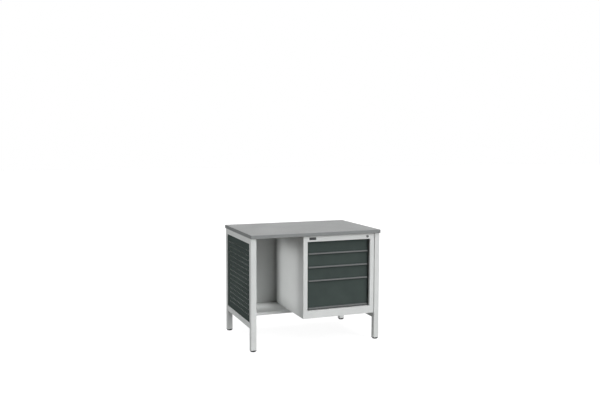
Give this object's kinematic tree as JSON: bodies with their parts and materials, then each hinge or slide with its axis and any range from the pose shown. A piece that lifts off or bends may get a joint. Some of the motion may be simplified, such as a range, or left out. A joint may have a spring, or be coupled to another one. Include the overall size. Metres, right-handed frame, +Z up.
{
  "type": "steel workbench with drawer cabinet",
  "caption": "Jewelers or technician's bench: laminated worktop on square-tube side frames with perforated panels, back panel, low shelf and a lockable drawer cabinet.",
  "frame": {"origin": "centre of the worktop's outline, on the floor", "axes": "+X to the right seen from the front, +Y to the back, +Z up; the bench faces -Y"},
  "size_m": [1, 0.68, 0.825],
  "materials": {
    "light_paint": "light grey powder coat, fine texture",
    "dark_paint": "anthracite grey powder coat, fine texture",
    "grip_grey": "satin mid grey",
    "laminate": "matt grey laminate",
    "edging": "satin grey edging",
    "board_core": "pressed board",
    "zinc_plate": "bright zinc plate",
    "chrome": "nickel plated",
    "black_plastic": "moulded polyamide",
    "dark_plastic": "satin dark plate"
  },
  "bodies": {
    "bench": {"worktop_board": "board_core", "worktop_laminate": "laminate", "worktop_edging": "edging", "leg_end_inserts": "black_plastic", "back_panel": "light_paint", "low_shelf": "light_paint", "cabinet_front_frame": "light_paint", "cabinet_left_side": "light_paint", "cabinet_right_side": "light_paint", "cabinet_base": "light_paint", "cabinet_back": "light_paint", "front_left_leg": "light_paint", "rear_left_leg": "light_paint", "left_top_rail": "light_paint", "left_lower_rail": "light_paint", "left_perforated_panel": "dark_paint", "left_slide_uprights": "zinc_plate", "front_right_leg": "light_paint", "rear_right_leg": "light_paint", "right_top_rail": "light_paint", "right_lower_rail": "light_paint", "right_perforated_panel": "dark_paint", "right_slide_uprights": "zinc_plate", "lock_housing": "chrome", "lock_nut": "zinc_plate", "locking_bar_guides": "black_plastic", "blank_plate": "dark_plastic", "worktop_screws": "zinc_plate", "sheet_screws": "zinc_plate", "drawer_1_outer_rails": "zinc_plate", "drawer_2_outer_rails": "zinc_plate", "drawer_3_outer_rails": "zinc_plate", "drawer_4_outer_rails": "zinc_plate"},
    "drawer_1": {"drawer_1_front": "dark_paint", "drawer_1_grip": "grip_grey", "drawer_1_tray": "light_paint", "drawer_1_inner_rails": "zinc_plate"},
    "drawer_1_middle": {"drawer_1_middle_rails": "zinc_plate"},
    "drawer_2": {"drawer_2_front": "dark_paint", "drawer_2_grip": "grip_grey", "drawer_2_tray": "light_paint", "drawer_2_inner_rails": "zinc_plate"},
    "drawer_2_middle": {"drawer_2_middle_rails": "zinc_plate"},
    "drawer_3": {"drawer_3_front": "dark_paint", "drawer_3_grip": "grip_grey", "drawer_3_tray": "light_paint", "drawer_3_inner_rails": "zinc_plate"},
    "drawer_3_middle": {"drawer_3_middle_rails": "zinc_plate"},
    "drawer_4": {"drawer_4_front": "dark_paint", "drawer_4_grip": "grip_grey", "drawer_4_tray": "light_paint", "drawer_4_inner_rails": "zinc_plate"},
    "drawer_4_middle": {"drawer_4_middle_rails": "zinc_plate"},
    "lock_barrel": {"lock_plug": "chrome", "lock_cam": "zinc_plate"},
    "locking_bar": {"locking_bar": "zinc_plate"},
    "front_left_foot": {"front_left_foot": "black_plastic"},
    "front_right_foot": {"front_right_foot": "black_plastic"},
    "rear_left_foot": {"rear_left_foot": "black_plastic"},
    "rear_right_foot": {"rear_right_foot": "black_plastic"}
  },
  "joints": [
    {"name": "drawer_1_slide", "type": "slide", "parent": "bench", "child": "drawer_1", "axis": [0, -1, 0], "range_m": [0, 0.45]},
    {"name": "drawer_1_middle_slide", "type": "slide", "parent": "bench", "child": "drawer_1_middle", "axis": [0, -1, 0], "range_m": [0, 0.225]},
    {"name": "drawer_2_slide", "type": "slide", "parent": "bench", "child": "drawer_2", "axis": [0, -1, 0], "range_m": [0, 0.45]},
    {"name": "drawer_2_middle_slide", "type": "slide", "parent": "bench", "child": "drawer_2_middle", "axis": [0, -1, 0], "range_m": [0, 0.225]},
    {"name": "drawer_3_slide", "type": "slide", "parent": "bench", "child": "drawer_3", "axis": [0, -1, 0], "range_m": [0, 0.45]},
    {"name": "drawer_3_middle_slide", "type": "slide", "parent": "bench", "child": "drawer_3_middle", "axis": [0, -1, 0], "range_m": [0, 0.225]},
    {"name": "drawer_4_slide", "type": "slide", "parent": "bench", "child": "drawer_4", "axis": [0, -1, 0], "range_m": [0, 0.45]},
    {"name": "drawer_4_middle_slide", "type": "slide", "parent": "bench", "child": "drawer_4_middle", "axis": [0, -1, 0], "range_m": [0, 0.225]},
    {"name": "bar_lift", "type": "slide", "parent": "bench", "child": "locking_bar", "axis": [0, 0, 1], "range_m": [0, 0.01]},
    {"name": "lock_turn", "type": "hinge", "parent": "bench", "child": "lock_barrel", "pos_m": [0.4, -0.3245, 0.778], "axis": [0, -1, 0], "range_deg": [0, 90]},
    {"name": "front_left_foot_screw", "type": "slide", "parent": "bench", "child": "front_left_foot", "axis": [0, 0, -1], "range_m": [0, 0.015]},
    {"name": "front_right_foot_screw", "type": "slide", "parent": "bench", "child": "front_right_foot", "axis": [0, 0, -1], "range_m": [0, 0.015]},
    {"name": "rear_left_foot_screw", "type": "slide", "parent": "bench", "child": "rear_left_foot", "axis": [0, 0, -1], "range_m": [0, 0.015]},
    {"name": "rear_right_foot_screw", "type": "slide", "parent": "bench", "child": "rear_right_foot", "axis": [0, 0, -1], "range_m": [0, 0.015]}
  ],
  "couplings": [
    {"joint": "drawer_1_middle_slide", "follows": "drawer_1_slide", "ratio": 0.5},
    {"joint": "drawer_2_middle_slide", "follows": "drawer_2_slide", "ratio": 0.5},
    {"joint": "drawer_3_middle_slide", "follows": "drawer_3_slide", "ratio": 0.5},
    {"joint": "drawer_4_middle_slide", "follows": "drawer_4_slide", "ratio": 0.5},
    {"joint": "lock_turn", "follows": "bar_lift", "rad_per_m": 157.08}
  ]
}
